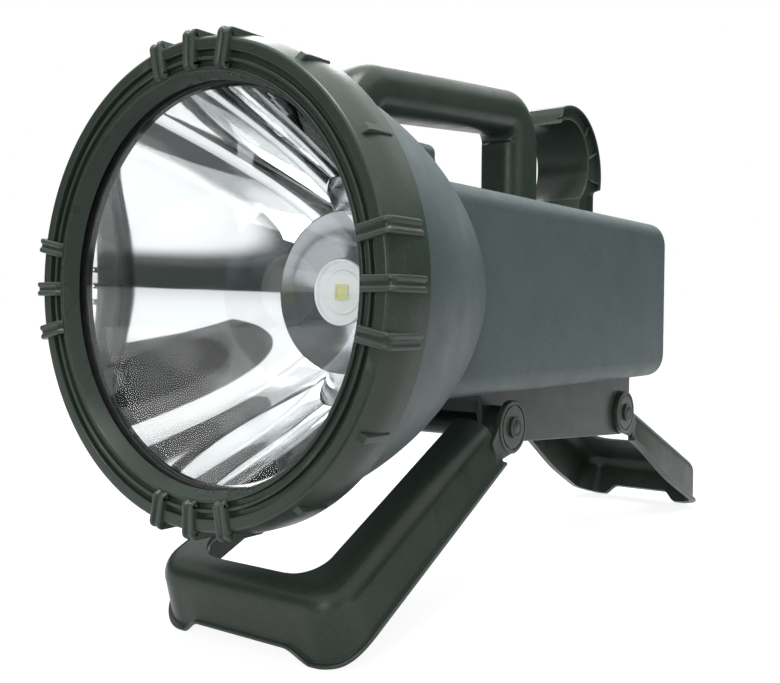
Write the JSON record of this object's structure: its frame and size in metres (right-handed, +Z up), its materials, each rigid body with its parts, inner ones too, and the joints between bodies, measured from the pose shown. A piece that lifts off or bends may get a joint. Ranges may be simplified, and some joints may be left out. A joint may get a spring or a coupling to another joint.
{
  "type": "led flashlight",
  "caption": "Hand-held LED searchlight with a deep round reflector, tube handle, cord hook and two folding U-shaped legs.",
  "frame": {"origin": "on the floor plane, midway along and across the object with both legs opened", "axes": "+Z up, -Y the way the beam shines, +X the object's left side seen from behind the lamp's beam"},
  "size_m": [0.1922, 0.4536, 0.2617],
  "materials": {
    "dark_plastic": "satin moulded plastic, dark grey",
    "button_plastic": "satin",
    "housing_plastic": "fine spark texture, blue grey",
    "clear_lens": "clear, polished",
    "chromed_plastic": "vacuum metallised, mirror",
    "grey_metal": "painted satin, blue grey",
    "white_plastic": "white, slight gloss",
    "board": "solder mask",
    "emitter": "phosphor yellow",
    "cast_aluminium": "plain",
    "black_rubber": "matt",
    "battery_case": "matt",
    "screw_steel": "zinc plated",
    "spring_steel": "bright",
    "dark_steel": "blackened",
    "black_plastic": "matt",
    "light_pipe": "translucent red",
    "cable_sheath": "matt"
  },
  "bodies": {
    "housing": {"handle": "dark_plastic", "cord_hook": "dark_plastic", "stand_bracket": "dark_plastic", "body_shell_right": "housing_plastic", "body_shell_left": "housing_plastic", "lens": "clear_lens", "reflector": "chromed_plastic", "lamp_dish": "grey_metal", "lamp_cup": "white_plastic", "led_board": "board", "driver_board": "board", "led_package": "emitter", "heat_sink": "cast_aluminium", "lens_gasket": "black_rubber", "battery_pad": "black_rubber", "battery_pack": "battery_case", "lamp_screw_1": "screw_steel", "lamp_screw_2": "screw_steel", "lamp_screw_3": "screw_steel", "body_screw_1": "screw_steel", "body_screw_2": "screw_steel", "body_screw_3": "screw_steel", "body_screw_4": "screw_steel", "body_screw_5": "screw_steel", "handle_screw_1": "screw_steel", "handle_screw_2": "screw_steel", "handle_screw_3": "screw_steel", "handle_screw_4": "screw_steel", "hook_screw_1": "screw_steel", "hook_screw_2": "screw_steel", "bracket_screw_1": "screw_steel", "bracket_screw_2": "screw_steel", "bracket_screw_3": "screw_steel", "bracket_screw_4": "screw_steel", "strap_screw_1": "screw_steel", "strap_screw_2": "screw_steel", "board_screw_1": "screw_steel", "board_screw_2": "screw_steel", "button_spring": "spring_steel", "front_pin_washer": "spring_steel", "rear_pin_washer": "spring_steel", "cap_pin": "spring_steel", "battery_strap": "spring_steel", "front_hinge_pin": "dark_steel", "rear_hinge_pin": "dark_steel", "switch_body": "black_plastic", "charge_socket": "black_plastic", "charge_light": "light_pipe", "lamp_cable": "cable_sheath", "switch_cable": "cable_sheath", "battery_cable": "cable_sheath", "socket_cable": "cable_sheath"},
    "front_ring": {"bezel_ring": "dark_plastic"},
    "front_leg": {"front_stand": "dark_plastic"},
    "rear_leg": {"rear_stand": "dark_plastic"},
    "button": {"switch_button": "button_plastic"},
    "socket_cover": {"socket_cap": "black_rubber"}
  },
  "joints": [
    {"name": "front_ring_turn", "type": "hinge", "parent": "housing", "child": "front_ring", "pos_m": [0, -0.22425, 0.145], "axis": [0, -1, 0], "range_deg": [0, 25]},
    {"name": "front_leg_fold", "type": "hinge", "parent": "housing", "child": "front_leg", "pos_m": [0, -0.06025, 0.081], "axis": [1, 0, 0], "range_deg": [0, 90]},
    {"name": "rear_leg_fold", "type": "hinge", "parent": "housing", "child": "rear_leg", "pos_m": [0, 0.09675, 0.076], "axis": [-1, 0, 0], "range_deg": [0, 85]},
    {"name": "button_press", "type": "slide", "parent": "housing", "child": "button", "axis": [0, -1, 0], "range_m": [0, 0.0025], "stiffness_N_per_m": 800, "springref_m": -0.001, "deforming": ["button_spring"]},
    {"name": "socket_cover_swing", "type": "hinge", "parent": "housing", "child": "socket_cover", "pos_m": [0.03, 0.11615, 0.148], "axis": [1, 0, 0], "range_deg": [0, 150]}
  ]
}
